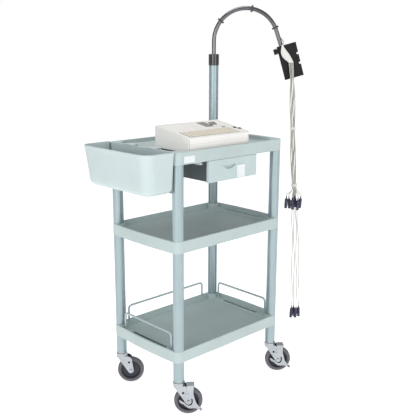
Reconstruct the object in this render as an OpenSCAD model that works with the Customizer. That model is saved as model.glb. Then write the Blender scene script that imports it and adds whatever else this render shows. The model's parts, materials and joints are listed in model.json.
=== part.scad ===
// Electrocardiograph trolley: three plastic shelves on four aluminium columns,
// with a side bin, a drawer, a chart recorder and an arm that carries the patient leads.
// Millimetres. X is to the right along the front, Y is to the back, Z is up.
// The origin is on the floor, midway between the four columns.

/* [Trolley] */
// Distance between the left and right column centres
col_span_x = 482; // [440:1:560]
// Distance between the front and rear column centres
col_span_y = 327; // [300:1:400]
// Outer diameter of each column
col_d = 38; // [34:1:42]
// Height of the bottom shelf's rim above the floor
bottom_z = 239; // [225:1:300]
// Height of the middle shelf's rim above the floor
middle_z = 632; // [560:1:680]
// Height of the top shelf's rim above the floor
top_z = 930; // [900:1:960]
// Height of a shelf's skirt
skirt_h = 42; // [38:1:50]
// How far the short sides of a shelf bow out
side_bow = 7; // [3:1:12]
// Height of the tall rear column's top
pole_z = 1187; // [1100:1:1250]

/* [Casters] */
// Diameter of each wheel
wheel_d = 100; // [90:1:102]
// Width of each tyre
wheel_w = 24; // [20:1:25]
// How far the axle trails behind the swivel
trail = 33; // [28:1:36]
// Direction in which the casters trail
trail_dir = -40; // [-60:1:-20]

/* [Lead arm] */
// Diameter of the arm's tube
arm_d = 16; // [14:1:18]
// Bend radius of the arm's tube
arm_r = 125; // [110:1:140]
// Direction in which the arm points at rest
arm_dir = -44; // [-60:1:-20]
// Slope of the arm's free end off vertical
arm_tip_angle = 19; // [12:1:24]

/* [Recorder] */
// Width of the recorder
rec_w = 294; // [288:1:300]
// Depth of the recorder
rec_d = 178; // [176:1:182]
// Height of the recorder's front edge above its feet
rec_front_h = 47; // [44:1:50]
// Height of the recorder's rear edge above its feet
rec_rear_h = 76; // [72:1:80]

/* [Bin and drawer] */
// Length of the side bin
bin_l = 348; // [320:1:360]
// Width of the side bin at its rim
bin_w = 116; // [100:1:130]
// Height of the side bin
bin_h = 138; // [120:1:150]
// Width of the drawer's front
drawer_w = 237; // [220:1:240]
// Height of the drawer's front
drawer_h = 75; // [65:1:80]

/* [Hidden] */

$fn = 48;
col_x = col_span_x / 2;
col_y = col_span_y / 2;
col_r = col_d / 2;
col_bore_r = 13;
collar_r = col_r + 2.5;
side_x = col_x + collar_r;
front_y = col_y + col_r;
fit = 0.05;

// Shelves
deck_drop = 14;
deck_low = 22;
ledge_drop = 13;
deck_t = 4;
rim_t = 7;
side_rim_t = 16;
boss_r = collar_r + 3;
ledge_slot_w = 12;
ledge_slot_l = 190;
ledge_slot_x = side_x - side_rim_t - 8;
screw_r = 2.5;
screw_head_r = 4.5;
rail_rod_r = 4;
rail_bend_r = 14;
rail_top_z = bottom_z + 53;
rail_side_x = ledge_slot_x + 6;
rail_side_half = 130;
rail_rear_y = front_y - 5;
rail_rear_half = 193;
rail_set = 12;

// Casters
wheel_r = wheel_d / 2;
cap_z = 125;
race_top = 121;
race_bottom = 108;
race_r = 21;
stem_r = 6;
fork_gap = wheel_w / 2 + 2;
fork_t = 2.5;
axle_r = 4;
hub_r = wheel_r - 13;
pedal_pivot = [30, 78];
pedal_gap = 0.4;
pedal_t = 2;
pin_r = 3;

// Arm, in its own plane: the first coordinate is the distance from the pole's axis
collar_h = 43;
arm_rise = 1279;
arm_foot = pole_z - 50;
arm_end_l = 56;
arm_end = [arm_r + arm_r * cos(arm_tip_angle) + arm_end_l * sin(arm_tip_angle),
    arm_rise + arm_r * sin(arm_tip_angle) - arm_end_l * cos(arm_tip_angle)];
clip_angles = [142, 80, 25];
cable_r = 3;
cable_gap = 0.4;
lead_r = 1.5;
hanger_w = 76;
hanger_h = 132;
hanger_t = 4;

// Recorder
rec_x0 = -191;
rec_x1 = rec_x0 + rec_w;
rec_y0 = -165;
rec_y1 = rec_y0 + rec_d;
foot_h = 5;
rec_z0 = top_z - deck_drop + foot_h;
rec_split = rec_z0 + 26;
rec_wall = 3;
lid_run = rec_d - 13;
lid_slope = atan((rec_rear_h - rec_front_h) / lid_run);
door_x = [-183, -77];
door_u = [80, 164];
door_hinge = [162, -4.8];
door_gap = 1;
ear_t = 3;
button_r = 6.5;
button_at = [[80, 57], [90.5, 42.5]];
button_travel = 1.5;
platen_y = -72;
platen_z = rec_z0 + 46;
platen_r = 6;
gear_mod = 0.8;
platen_teeth = 24;
pinion_teeth = 12;
gear_dist = gear_mod * (platen_teeth + pinion_teeth) / 2;
gear_x = -185;
gear_t = 5;
shaft_r = 2;
pinion_shaft_r = 1;
motor_r = 7.4;
socket_z = rec_z0 + 44;
patient_x = 40;
mains_x = 78;
rocker_x = -20;

// Bin and drawer
bin_x1 = -(side_x + 9.5);
bin_x0 = bin_x1 - bin_w;
bin_z1 = top_z + 3;
bin_z0 = bin_z1 - bin_h;
bin_wall = 3;
bin_taper = 14;
drawer_top = top_z - skirt_h - 0.6;
drawer_z0 = drawer_top - drawer_h;
tray_w = drawer_w - 10;
tray_l = 300;
runner_l = 290;

function arc(cx, cy, r, a0, a1, n) =
    [for (i = [0 : n]) let (a = a0 + (a1 - a0) * i / n) [cx + r * cos(a), cy + r * sin(a)]];

// One short side of a shelf's outline, bowed out by b from x = half_x
function bowed(half_x, half_y, b, n) =
    [for (i = [1 : n - 1]) let (t = 1 - 2 * i / n) [half_x + b * (1 - t * t), half_y * t]];

// Outline with corners of radius r round (cx, cy) and bowed short sides, clockwise
function outline(cx, cy, r, b) = concat(
    arc(cx, cy, r, 90, 0, 10),
    bowed(cx + r, cy, b, 12),
    arc(cx, -cy, r, 0, -90, 10),
    arc(-cx, -cy, r, -90, -180, 10),
    [for (p = bowed(cx + r, cy, b, 12)) [-p[0], -p[1]]],
    arc(-cx, cy, r, 180, 90, 10));

module at_columns() {
    for (sx = [-1, 1])
        for (sy = [-1, 1])
            translate([sx * col_x, sy * col_y, 0])
                children();
}

// A plan outline inset from the rims, with the corner bosses left standing
module pocket(inset_x, inset_y, b) {
    difference() {
        polygon(outline(side_x - inset_x - 12, front_y - inset_y - 12, 12, b));
        at_columns()
            circle(r = boss_r);
    }
}

module screw_holes(z) {
    for (sx = [-1, 1])
        for (sy = [-1, 1])
            translate([sx * col_x, sy * (col_y - col_r), z])
                rotate([90, 0, 0])
                    cylinder(r = screw_r + 0.1, h = 30, center = true);
}

// One shelf whose rim is at height z, with raised side ledges where ledge is above 0
module shelf(z, ledge = 0) {
    z0 = z - skirt_h;
    drop = ledge > 0 ? deck_low : deck_drop;
    difference() {
        translate([0, 0, z0])
            linear_extrude(skirt_h)
                polygon(outline(col_x, col_y + col_r - collar_r, collar_r, side_bow));
        translate([0, 0, z - drop])
            linear_extrude(drop + 1)
                pocket(ledge > 0 ? 40 : side_rim_t, ledge > 0 ? rim_t + 1.5 : rim_t, side_bow * 0.8);
        if (ledge > 0)
            translate([0, 0, z - ledge])
                linear_extrude(ledge + 1)
                    pocket(rim_t, rim_t, side_bow * 0.8);
        translate([0, 0, z0 - 1])
            linear_extrude(skirt_h - drop - deck_t + 1)
                pocket(4, 4, side_bow);
        for (s = [-1, 1])
            translate([s * ledge_slot_x, 0, z - drop])
                cube([ledge_slot_w, ledge_slot_l, 30], center = true);
        screw_holes(z0 + 11);
        children();
    }
}

module column_bores(z0, z1) {
    at_columns()
        translate([0, 0, z0])
            cylinder(r = col_r + fit, h = z1 - z0);
}

module top_shelf() {
    color([0.77, 0.81, 0.81]) {
        shelf(top_z) {
            column_bores(top_z - skirt_h - 1, top_z - 6);
            translate([col_x, col_y, top_z - 10])
                cylinder(r = col_r + fit, h = 20);
        }
        for (s = [-1, 1])
            translate([s * (tray_w / 2 + 9) - 7, -col_y + 12, top_z - skirt_h])
                cube([14, runner_l, skirt_h - deck_drop - deck_t + 0.5]);
    }
}

module middle_shelf() {
    color([0.77, 0.81, 0.81])
        shelf(middle_z, ledge_drop)
            column_bores(middle_z - skirt_h - 1, middle_z + 1);
}

module bottom_shelf() {
    color([0.77, 0.81, 0.81])
        difference() {
            shelf(bottom_z, ledge_drop)
                column_bores(bottom_z - skirt_h - 1, bottom_z + 1);
            for (s = [-1, 1]) {
                translate([s * rail_rear_half, rail_rear_y, bottom_z - rail_set])
                    cylinder(r = rail_rod_r + fit, h = 20);
                for (t = [-1, 1])
                    translate([s * rail_side_x, t * rail_side_half, bottom_z - deck_low - 8])
                        cylinder(r = rail_rod_r + fit, h = 30);
            }
        }
}

// A column at (sx, sy) with an open channel facing each of its two neighbours
module column(sx, sy, z1) {
    color([0.72, 0.79, 0.81])
        translate([sx * col_x, sy * col_y, cap_z])
            difference() {
                linear_extrude(z1 - cap_z)
                    difference() {
                        circle(r = col_r);
                        circle(r = col_bore_r);
                        translate([-sx * (col_r - 1), 0])
                            square([6, 9], center = true);
                        translate([0, -sy * (col_r - 1)])
                            square([9, 6], center = true);
                    }
                for (z = [bottom_z, middle_z, top_z])
                    translate([0, -sy * col_r, z - skirt_h + 11 - cap_z])
                        rotate([90, 0, 0])
                            cylinder(r = screw_r + 0.1, h = 16, center = true);
            }
}

module column_front_left() { column(-1, -1, top_z - 6); }
module column_front_right() { column(1, -1, top_z - 6); }
module column_rear_left() { column(-1, 1, top_z - 6); }
module column_rear_right() { column(1, 1, pole_z); }

module shelf_screws() {
    color([0.6, 0.6, 0.62])
        for (z = [bottom_z, middle_z, top_z])
            for (sx = [-1, 1])
                for (sy = [-1, 1])
                    translate([sx * col_x, sy * (col_y - boss_r), z - skirt_h + 11])
                        rotate([sy * 90, 0, 0]) {
                            cylinder(r = screw_head_r, h = 3);
                            translate([0, 0, -11])
                                cylinder(r = screw_r, h = 11);
                        }
}

// A bent rod in the XZ plane: two legs from foot_z and a bar at height top
module bent_rail(half, foot_z, top) {
    rb = rail_bend_r;
    for (s = [0, 1])
        mirror([s, 0, 0]) {
            translate([half, 0, foot_z])
                cylinder(r = rail_rod_r, h = top - rb - foot_z);
            translate([half - rb, 0, top - rb])
                rotate([90, 0, 0])
                    rotate_extrude(angle = 90)
                        translate([rb, 0])
                            circle(r = rail_rod_r);
        }
    translate([-(half - rb), 0, top])
        rotate([0, 90, 0])
            cylinder(r = rail_rod_r, h = 2 * (half - rb));
}

module guard_rail_side(s) {
    color([0.7, 0.75, 0.77])
        translate([s * rail_side_x, 0, 0])
            rotate([0, 0, 90])
                bent_rail(rail_side_half, bottom_z - deck_low - 8, rail_top_z);
}

module guard_rail_left() { guard_rail_side(-1); }
module guard_rail_right() { guard_rail_side(1); }
module guard_rail_rear() {
    color([0.7, 0.75, 0.77])
        translate([0, rail_rear_y, 0])
            bent_rail(rail_rear_half, bottom_z - rail_set, rail_top_z);
}

// Two C-shaped runners under the top shelf, each with a stop at its front end
module drawer_runners() {
    z1 = top_z - skirt_h;
    color([0.93, 0.93, 0.92])
        for (s = [0, 1])
            mirror([s, 0, 0])
                translate([tray_w / 2 + 2, -col_y + 12, z1])
                    difference() {
                        translate([0, 0, -16])
                            cube([14, runner_l, 15.9]);
                        translate([-1, -1, -12])
                            cube([9, runner_l + 2, 8]);
                    }
}

module caster_stems() {
    color([0.7, 0.71, 0.73])
        at_columns() {
            translate([0, 0, cap_z])
                cylinder(r = col_bore_r - 0.1, h = 40);
            translate([0, 0, race_top + 1])
                cylinder(r = col_r, h = cap_z - race_top - 1);
            translate([0, 0, race_bottom - 3])
                cylinder(r = stem_r, h = cap_z - race_bottom + 4);
        }
}

// Puts a child into a caster's frame: X along the trail, Y along the axle
module caster_frame(sx, sy) {
    translate([sx * col_x, sy * col_y, 0])
        rotate([0, 0, trail_dir])
            children();
}

// A fork's leg in the XZ plane, as points from the crown round the axle boss
function leg_points() = concat(
    [[-race_r + 3, race_bottom + 1]],
    arc(trail, wheel_r, 11, 215, 365, 10),
    [[trail + 4, race_bottom - 9], [trail - 3, race_bottom - 3], [race_r, race_bottom + 1]]);

module fork(sx, sy, brake) {
    color([0.8, 0.81, 0.83])
        caster_frame(sx, sy) {
            difference() {
                union() {
                    translate([0, 0, race_bottom])
                        cylinder(r = race_r, h = race_top - race_bottom);
                    translate([-race_r + 3, -fork_gap - fork_t, race_bottom - 2.5])
                        cube([2 * race_r - 3, 2 * (fork_gap + fork_t), 3.5]);
                    for (s = [-1, 1])
                        translate([0, s * (fork_gap + fork_t / 2), 0])
                            rotate([90, 0, 0])
                                linear_extrude(fork_t, center = true)
                                    polygon(leg_points());
                }
                translate([0, 0, race_bottom - 10])
                    cylinder(r = stem_r + fit, h = 40);
                translate([trail, 0, wheel_r])
                    rotate([90, 0, 0])
                        cylinder(r = axle_r + 0.02, h = 80, center = true);
                translate([brake ? 14 : 27, 0, 84])
                    rotate([90, 0, 0])
                        cylinder(r = 4, h = 80, center = true);
                if (brake)
                    translate([pedal_pivot[0] - 1.5, -fork_gap, pedal_pivot[1]])
                        rotate([90, 0, 0])
                            cylinder(r = pin_r + fit, h = 20);
            }
            translate([trail, 0, wheel_r])
                rotate([90, 0, 0])
                    cylinder(r = axle_r, h = 2 * (fork_gap + fork_t), center = true);
            for (s = [-1, 1])
                translate([trail, s * (fork_gap + fork_t + 2), wheel_r])
                    rotate([90, 0, 0])
                        cylinder(r = 6.5, h = 4, center = true, $fn = 6);
        }
}

module fork_front_left() { fork(-1, -1, true); }
module fork_front_right() { fork(1, -1, true); }
module fork_rear_left() { fork(-1, 1, false); }
module fork_rear_right() { fork(1, 1, false); }

module tyre(sx, sy) {
    r = wheel_r;
    w = wheel_w / 2;
    color([0.37, 0.35, 0.38])
        caster_frame(sx, sy)
            translate([trail, 0, r])
                rotate([90, 0, 0])
                    rotate_extrude($fn = 72)
                        polygon([[hub_r, -w + 2], [r - 7, -w], [r - 2, -w + 2.5], [r, -w + 7],
                            [r, w - 7], [r - 2, w - 2.5], [r - 7, w], [hub_r, w - 2]]);
}

module hub(sx, sy) {
    w = wheel_w / 2;
    color([0.2, 0.21, 0.25])
        caster_frame(sx, sy)
            translate([trail, 0, wheel_r])
                rotate([90, 0, 0])
                    rotate_extrude($fn = 72)
                        polygon([[axle_r + fit, -w - 1], [10, -w - 1], [12, -3], [hub_r - 4, -3],
                            [hub_r - 3, -w + 3], [hub_r, -w + 3], [hub_r, w - 3],
                            [hub_r - 3, w - 3], [hub_r - 4, 3], [12, 3], [10, w + 1],
                            [axle_r + fit, w + 1]]);
}

module tyre_front_left() { tyre(-1, -1); }
module tyre_front_right() { tyre(1, -1); }
module tyre_rear_left() { tyre(-1, 1); }
module tyre_rear_right() { tyre(1, 1); }
module hub_front_left() { hub(-1, -1); }
module hub_front_right() { hub(1, -1); }
module hub_rear_left() { hub(-1, 1); }
module hub_rear_right() { hub(1, 1); }

// A stamped rocker on the fork's near leg, with a tread above the wheel and a kick-off toe
module brake_pedal(sx) {
    px = pedal_pivot[0] - 1.5;
    pz = pedal_pivot[1];
    y0 = -fork_gap - fork_t - pedal_gap;
    color([0.75, 0.77, 0.8])
        caster_frame(sx, -1) {
            translate([0, y0, 0])
                rotate([90, 0, 0])
                    linear_extrude(pedal_t)
                        polygon(concat([[26, 112], [27, 100]], arc(px, pz, 8, 150, 250, 6),
                            [[47, 61], [48, 50], [45, 41], [40, 37], [32, 37], [25, 41], [18, 49],
                            [9, 54], [3, 59], [-1, 56], [5, 47], [15, 42], [23, 34], [32, 27],
                            [42, 25], [54, 26], [64, 23], [74, 19], [80, 21], [79, 26],
                            [68, 35], [60, 46], [54, 64], [50, 84], [51, 104], [54, 112]]));
            translate([26, y0 - pedal_t, 107])
                cube([28, fork_gap + fork_t + pedal_gap + pedal_t + 13, 5]);
            translate([72, y0 - pedal_t - 8, 19])
                rotate([0, -15, 0])
                    cube([9, 9, 3]);
            translate([px, y0 + 0.3, pz])
                rotate([90, 0, 0])
                    cylinder(r = 5, h = 4);
            translate([px, -fork_gap - 0.5, pz])
                rotate([90, 0, 0])
                    cylinder(r = pin_r, h = fork_t + 1);
        }
}

module brake_pedal_left() { brake_pedal(-1); }
module brake_pedal_right() { brake_pedal(1); }

module pole_collar() {
    color([0.1, 0.1, 0.11])
        translate([col_x, col_y, pole_z])
            difference() {
                union() {
                    cylinder(r = col_r + 1.5, h = collar_h);
                    translate([0, 0, -12])
                        cylinder(r = col_bore_r - 0.1, h = 13);
                }
                translate([0, 0, -20])
                    cylinder(r = arm_d / 2 + fit, h = 80);
            }
}

// Puts a child into the arm's plane: X away from the pole, Y across the plane
module arm_frame() {
    translate([col_x, col_y, 0])
        rotate([0, 0, arm_dir])
            children();
}

module arm_tube() {
    r = arm_d / 2;
    color([0.8, 0.81, 0.83])
        arm_frame() {
            translate([0, 0, arm_foot])
                cylinder(r = r - 0.04, h = arm_rise - arm_foot + 0.4);
            translate([arm_r, 0, arm_rise])
                rotate([90, 0, 0])
                    rotate([0, 0, arm_tip_angle]) {
                        rotate_extrude(angle = 180 - arm_tip_angle)
                            translate([arm_r, 0])
                                circle(r = r);
                        translate([arm_r, 0, 0])
                            rotate([90, 0, 0])
                                cylinder(r = r, h = arm_end_l + 20);
                    }
        }
}

// Snap clips that hold the cable against the far side of the tube
module cable_clips() {
    r = arm_d / 2 + 0.2;
    c = arm_d / 2 + cable_r + cable_gap;
    color([0.35, 0.36, 0.38])
        arm_frame()
            for (a = clip_angles)
                translate([arm_r + arm_r * cos(a), 0, arm_rise + arm_r * sin(a)])
                    rotate([0, -a, 0])
                        difference() {
                            union() {
                                cylinder(r = r + 2, h = 7, center = true);
                                translate([0, c, 0])
                                    cylinder(r = cable_r + 2.2, h = 7, center = true);
                                cube([2 * r + 10, 5, 7], center = true);
                            }
                            cylinder(r = r, h = 9, center = true);
                            translate([0, c, 0])
                                cylinder(r = cable_r + 0.3, h = 9, center = true);
                        }
}

// A notched plate square to the tube's end, clamped to it with a thumb knob
module lead_hanger() {
    t = hanger_t;
    color([0.07, 0.07, 0.08])
        arm_frame()
            translate([arm_end[0], 0, arm_end[1]])
                rotate([0, -arm_tip_angle + 3, 0])
                translate([-1, 0, -14]) {
                    difference() {
                        translate([-17, -arm_d / 2 - t, 10 - hanger_h])
                            cube([hanger_w, t, hanger_h]);
                        for (z = [-38, -76])
                            translate([hanger_w - 17 - 7, -arm_d / 2 - t - 1, z])
                                cube([10, t + 2, 8]);
                    }
                    difference() {
                        translate([-17, -arm_d / 2 - 0.1, -18])
                            cube([26, arm_d + 3, 26]);
                        translate([1, 0, 14])
                            rotate([0, -3, 0])
                                translate([0, 0, -60])
                                    cylinder(r = arm_d / 2 + 0.2, h = 100);
                    }
                    translate([-32, 0, -7])
                        rotate([0, 90, 0])
                            cylinder(r = 11, h = 13, $fn = 12);
                    translate([-20, 0, -7])
                        rotate([0, 90, 0])
                            cylinder(r = 4, h = 4);
                }
}

// Where the trunk cable divides into the patient leads
yoke_top = [266, 1262];
yoke_bottom = [301, 1201];
yoke_y = -arm_d / 2 - hanger_t - 10;

module yoke() {
    color([0.85, 0.85, 0.83])
        arm_frame()
            hull() {
                translate([yoke_top[0], yoke_y, yoke_top[1]])
                    sphere(r = 5, $fn = 20);
                translate([yoke_top[0] + 19, yoke_y - 2, yoke_top[1] - 36])
                    rotate([90, 0, 0])
                        cylinder(r = 19, h = 12, center = true, $fn = 32);
                translate([yoke_bottom[0] - 11, yoke_y - 8, yoke_bottom[1]])
                    cube([22, 12, 4]);
            }
}

function unit(v) = v / norm(v);
// A ring of points round p, square to direction d
function ring(p, d, r, n) =
    let (u = unit(cross(d, abs(d[2]) > 0.8 ? [1, 0, 0] : [0, 0, 1])), v = unit(cross(d, u)))
    [for (i = [0 : n - 1]) p + r * (cos(360 * i / n) * u + sin(360 * i / n) * v)];
function tangent(pts, i) =
    unit(pts[min(i + 1, len(pts) - 1)] - pts[max(i - 1, 0)]);

// A tube of n sides swept along points
module tube(pts, r, n) {
    m = len(pts);
    rings = [for (i = [0 : m - 1]) each ring(pts[i], tangent(pts, i), r, n)];
    sides = [for (i = [0 : m - 2]) for (j = [0 : n - 1])
        [i * n + j, i * n + (j + 1) % n, (i + 1) * n + (j + 1) % n, (i + 1) * n + j]];
    tris = [for (q = sides) each [[q[0], q[1], q[2]], [q[0], q[2], q[3]]]];
    polyhedron(points = rings,
        faces = concat([[for (j = [n - 1 : -1 : 0]) j]], tris, [[for (j = [0 : n - 1]) (m - 1) * n + j]]));
}

// A smooth curve through points, k steps a span
function catmull(p0, p1, p2, p3, t) = 0.5 * (2 * p1 + (p2 - p0) * t
    + (2 * p0 - 5 * p1 + 4 * p2 - p3) * t * t + (3 * p1 - p0 - 3 * p2 + p3) * t * t * t);
function smooth(p, k) = concat([for (i = [0 : len(p) - 2]) for (j = [0 : k - 1])
    catmull(p[max(i - 1, 0)], p[i], p[i + 1], p[min(i + 2, len(p) - 1)], j / k)], [p[len(p) - 1]]);

// The trunk cable from the recorder's rear to the pole and up its far side
trunk_route = [[40, 58, 965], [40, 76, 963], [44, 98, 950], [58, 118, 933], [82, 134, 922],
    [116, 146, 920], [156, 155, 920.5], [184, 163, 928], [203, 173, 936], [218, 184, 937],
    [233, 191.5, 942], [246, 190.5, 954], [254, 184, 970], [256.7, 179.7, 990], [256.7, 179.7, 1010], [256.7, 179.7, 1060], [256.7, 179.7, 1120],
    [256.7, 179.7, 1180]];

module trunk_cable_pole() {
    color([0.8, 0.8, 0.78])
        tube(smooth(trunk_route, 4), cable_r, 10);
}

module trunk_connector() {
    color([0.85, 0.85, 0.83])
        translate([patient_x, rec_y1 + 2.1, socket_z]) {
            translate([-20, 0, -7])
                cube([40, 28, 14]);
            translate([-14.5, -6.5, -3])
                cube([29, 7, 6]);
            translate([0, 42.8, 0])
                rotate([90, 0, 0])
                    cylinder(r1 = 4, r2 = 6, h = 15);
        }
}

// The cable on the arm, in the arm's plane: up past the collar, round the bend, into the yoke
trunk_y = arm_d / 2 + cable_r + cable_gap;
trunk_arm_route = concat(
    [[0, 22.6, 1181.2], [0, 24.3, 1188], [0, 24.6, 1200], [0, 24.6, 1212], [0, 24.2, 1232], [0, 16, 1250],
        [0, trunk_y, 1266]],
    [for (a = [180 : -10 : 20])
        [arm_r + arm_r * cos(a), trunk_y, arm_rise + arm_r * sin(a)]],
    [[250, trunk_y, 1306], [258, 10.4, 1296], [267.5, 4.5, 1286], [271, -4, 1280],
        [270.5, -14, 1274.5], [268, -21, 1268]]);

module trunk_cable_arm() {
    color([0.8, 0.8, 0.78])
        arm_frame()
            tube(smooth(trunk_arm_route, 2), cable_r, 10);
}

// The lead bundle's centreline in the arm's plane
bundle_route = [[301, 1201], [303, 1185], [305, 1165], [307, 1140], [309, 1110], [311, 1070],
    [313, 1025], [315, 980], [317, 930], [319.5, 880], [322, 830], [325, 780], [328, 730],
    [331, 700]];
// Chest leads: where each ends, away from the pole and across the arm's plane
chest_end = [[300, -5], [323, -8], [334, 3], [347, -7], [359, 2], [311, 5]];
chest_z = 663;
limb_end = [[338, 14], [348, 26], [358, 14], [369, 24]];
limb_z = 181;
limb_route = [[333, 650], [336, 600], [339, 550], [342, 500], [344, 450], [346, 400],
    [348, 350], [350, 300], [352, 250], [353, 205], [353, 181]];
lead_pitch = 3.8;
leads_y = yoke_y - 2;

// Bundle position of lead k of ten: five across, two deep
function lead_offset(k) = [(k % 5 - 2) * lead_pitch, (floor(k / 5) - 0.5) * lead_pitch];
function bundled(k) = [for (p = bundle_route) let (o = lead_offset(k))
    [p[0] + o[0], leads_y + o[1], p[1]]];
function chest_lead(k) = let (e = chest_end[k], o = lead_offset(k))
    concat(bundled(k), [[(331 + o[0] + e[0]) / 2, leads_y + (o[1] + e[1]) / 2, 682],
        [e[0], leads_y + e[1], chest_z + 10], [e[0], leads_y + e[1], chest_z]]);
function limb_lead(k) = let (e = limb_end[k], o = lead_offset(k + 6), n = len(limb_route) - 1)
    concat(bundled(k + 6), [for (i = [0 : n]) let (t = i / n, p = limb_route[i])
        [p[0] + o[0] * (1 - t) + (e[0] - 353) * t, leads_y + 16 + (e[1] - 16) * t + o[1] * (1 - t), p[1]]]);

module chest_leads() {
    color([0.8, 0.79, 0.76])
        arm_frame()
            for (k = [0 : 5])
                tube(smooth(chest_lead(k), 2), lead_r, 8);
}

module limb_leads() {
    color([0.8, 0.79, 0.76])
        arm_frame()
            for (k = [0 : 3])
                tube(smooth(limb_lead(k), 2), lead_r, 8);
}

// An electrode grip that hangs from its lead at p
module lead_clip(p) {
    translate(p) {
        translate([0, 0, -9])
            cylinder(r1 = 4.5, r2 = 2.2, h = 9);
        translate([0, 0, -48])
            cylinder(r = 6.4, h = 39.5);
    }
}

module lead_clips() {
    color([0.16, 0.16, 0.36])
        arm_frame() {
            for (e = chest_end)
                lead_clip([e[0], leads_y + e[1], chest_z]);
            for (e = limb_end)
                lead_clip([e[0], leads_y + e[1], limb_z]);
        }
}

// Puts a child on the recorder's sloping lid: X as the trolley's, Y up the slope, Z out of it
module on_lid() {
    translate([0, rec_y0, rec_z0 + rec_front_h])
        rotate([lid_slope, 0, 0])
            children();
}

// The recorder's plan with corner radii rl on the left and rr on the right
module recorder_plan(inset, rl, rr) {
    x0 = rec_x0 + inset;
    x1 = rec_x1 - inset;
    y0 = rec_y0 + inset;
    y1 = rec_y1 - inset;
    polygon(concat(arc(x0 + rl, y0 + rl, rl, 180, 270, 6), arc(x1 - rr, y0 + rr, rr, 270, 360, 8),
        arc(x1 - rr, y1 - rr, rr, 0, 90, 8), arc(x0 + rl, y1 - rl, rl, 90, 180, 6)));
}

// The recorder's side outline above height z, lowered by drop
module recorder_body(inset, z, drop) {
    rl = max(1, 6 - inset);
    rr = max(1, 15 - inset);
    front = rec_z0 + rec_front_h - drop;
    rear = rec_z0 + rec_rear_h - drop;
    intersection() {
        translate([0, 0, z])
            linear_extrude(200)
                recorder_plan(inset, rl, rr);
        translate([rec_x0 - 10, 0, 0])
            rotate([90, 0, 90])
                linear_extrude(rec_w + 20)
                    polygon([[rec_y0 - 5, 0], [rec_y0 - 5, front - 3], [rec_y0 + inset, front - 2],
                        [rec_y0 + 2 + inset, front + 0.3], [rec_y1 - 13, rear],
                        [rec_y1 - 5 - inset, rear - 1], [rec_y1 - inset, rear - 7], [rec_y1 + 5, 0]]);
    }
}

// A plate that stands on the base and carries one end of the platen roller
module bearing_plate(x, motor) {
    difference() {
        translate([x, platen_y - 12, rec_z0 + rec_wall - 0.5])
            cube([4, 22, platen_z + 9 - rec_z0 - rec_wall]);
        translate([x - 1, platen_y, platen_z])
            rotate([0, 90, 0])
                cylinder(r = shaft_r + fit, h = 6);
        if (motor)
            translate([x - 1, platen_y, platen_z - gear_dist])
                rotate([0, 90, 0])
                    cylinder(r = motor_r + 0.1, h = 6);
    }
}

module recorder_base() {
    color([0.89, 0.88, 0.86]) {
        bearing_plate(-177, true);
        bearing_plate(-87, false);
        difference() {
            translate([0, 0, rec_z0])
                linear_extrude(rec_split - rec_z0)
                    recorder_plan(0, 6, 15);
            translate([0, 0, rec_z0 + rec_wall])
                linear_extrude(80)
                    recorder_plan(rec_wall, 3, 12);
        }
    }
}

// Ears under the lid that hold the ends of the printer door's hinge pin
module door_ears() {
    on_lid()
        for (x = [door_x[0] - door_gap - ear_t, door_x[1] + door_gap])
            difference() {
                translate([x, door_hinge[0] - 5, door_hinge[1] - 4])
                    cube([ear_t, 10, 6]);
                translate([x - 1, door_hinge[0], door_hinge[1]])
                    rotate([0, 90, 0])
                        cylinder(r = 1.5 + fit, h = ear_t + 2);
            }
}

module recorder_cover() {
    color([0.91, 0.9, 0.88]) {
        door_ears();
        difference() {
            recorder_body(0, rec_split, 0);
            recorder_body(rec_wall, rec_split - 1, rec_wall);
            on_lid() {
                translate([door_x[0] - door_gap, door_u[0] - door_gap, -9])
                    cube([door_x[1] - door_x[0] + 2 * door_gap, door_u[1] - door_u[0] + 8, 30]);
                translate([-176, 12, -1.5])
                    cube([240, 58, 20]);
                translate([-20, 98, -6])
                    cube([76, 58, 20]);
                for (p = button_at)
                    translate([p[0], p[1], -10])
                        cylinder(r = button_r + 0.35, h = 30);
            }
            translate([patient_x - 18, rec_y1 - 5, socket_z - 6])
                cube([36, 10, 12]);
            translate([mains_x - 14, rec_y1 - 5, socket_z - 10])
                cube([28, 10, 20]);
            translate([rocker_x - 7, rec_y1 - 5, socket_z - 10.5])
                cube([14, 10, 21]);
            translate([rocker_x - 9.2, rec_y1 - 1.5, socket_z])
                rotate([0, 90, 0])
                    cylinder(r = 1.1 + fit, h = 18.4);
        }
    }
}

module keypad() {
    color([0.89, 0.86, 0.78])
        on_lid() {
            translate([-175.5, 12.5, -1.5])
                cube([239, 57, 1.2]);
            for (i = [0 : 13])
                for (j = [0 : 3])
                    translate([-172 + i * 16.8, 15 + j * 13.4, -0.4])
                        cube([14, 11, 1.4]);
        }
}

module display_window() {
    color([0.35, 0.36, 0.38])
        on_lid()
            translate([-19.5, 98.5, -2.5])
                cube([75, 57, 2.2]);
}

module circuit_boards() {
    color([0.1, 0.4, 0.25]) {
        translate([-66, -155, rec_z0 + 16])
            cube([160, 92, 1.6]);
        for (x = [-50, 0, 50])
            translate([x, -130, rec_z0 + 17.6])
                cube([22, 22, 2.5]);
        translate([24, -52, rec_z0 + 8])
            cube([70, 56, 1.6]);
        translate([36, -44, rec_z0 + 9.6])
            cube([32, 32, 18]);
    }
}

module battery_pack() {
    color([0.25, 0.45, 0.7])
        for (i = [0 : 3])
            translate([-58 + i * 19, -52, rec_z0 + 13.2])
                rotate([-90, 0, 0])
                    cylinder(r = 9, h = 56);
}

module print_head() {
    color([0.75, 0.75, 0.76]) {
        translate([-170, platen_y - 14, platen_z - 5])
            cube([80, 6, 14]);
        translate([-168, platen_y - 7.9, platen_z - 4])
            cube([76, 1.4, 8]);
    }
}

module paper_pack() {
    color([0.97, 0.95, 0.93])
        translate([-170, platen_y + 10, rec_z0 + 5])
            cube([80, 70, 34]);
}

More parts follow.
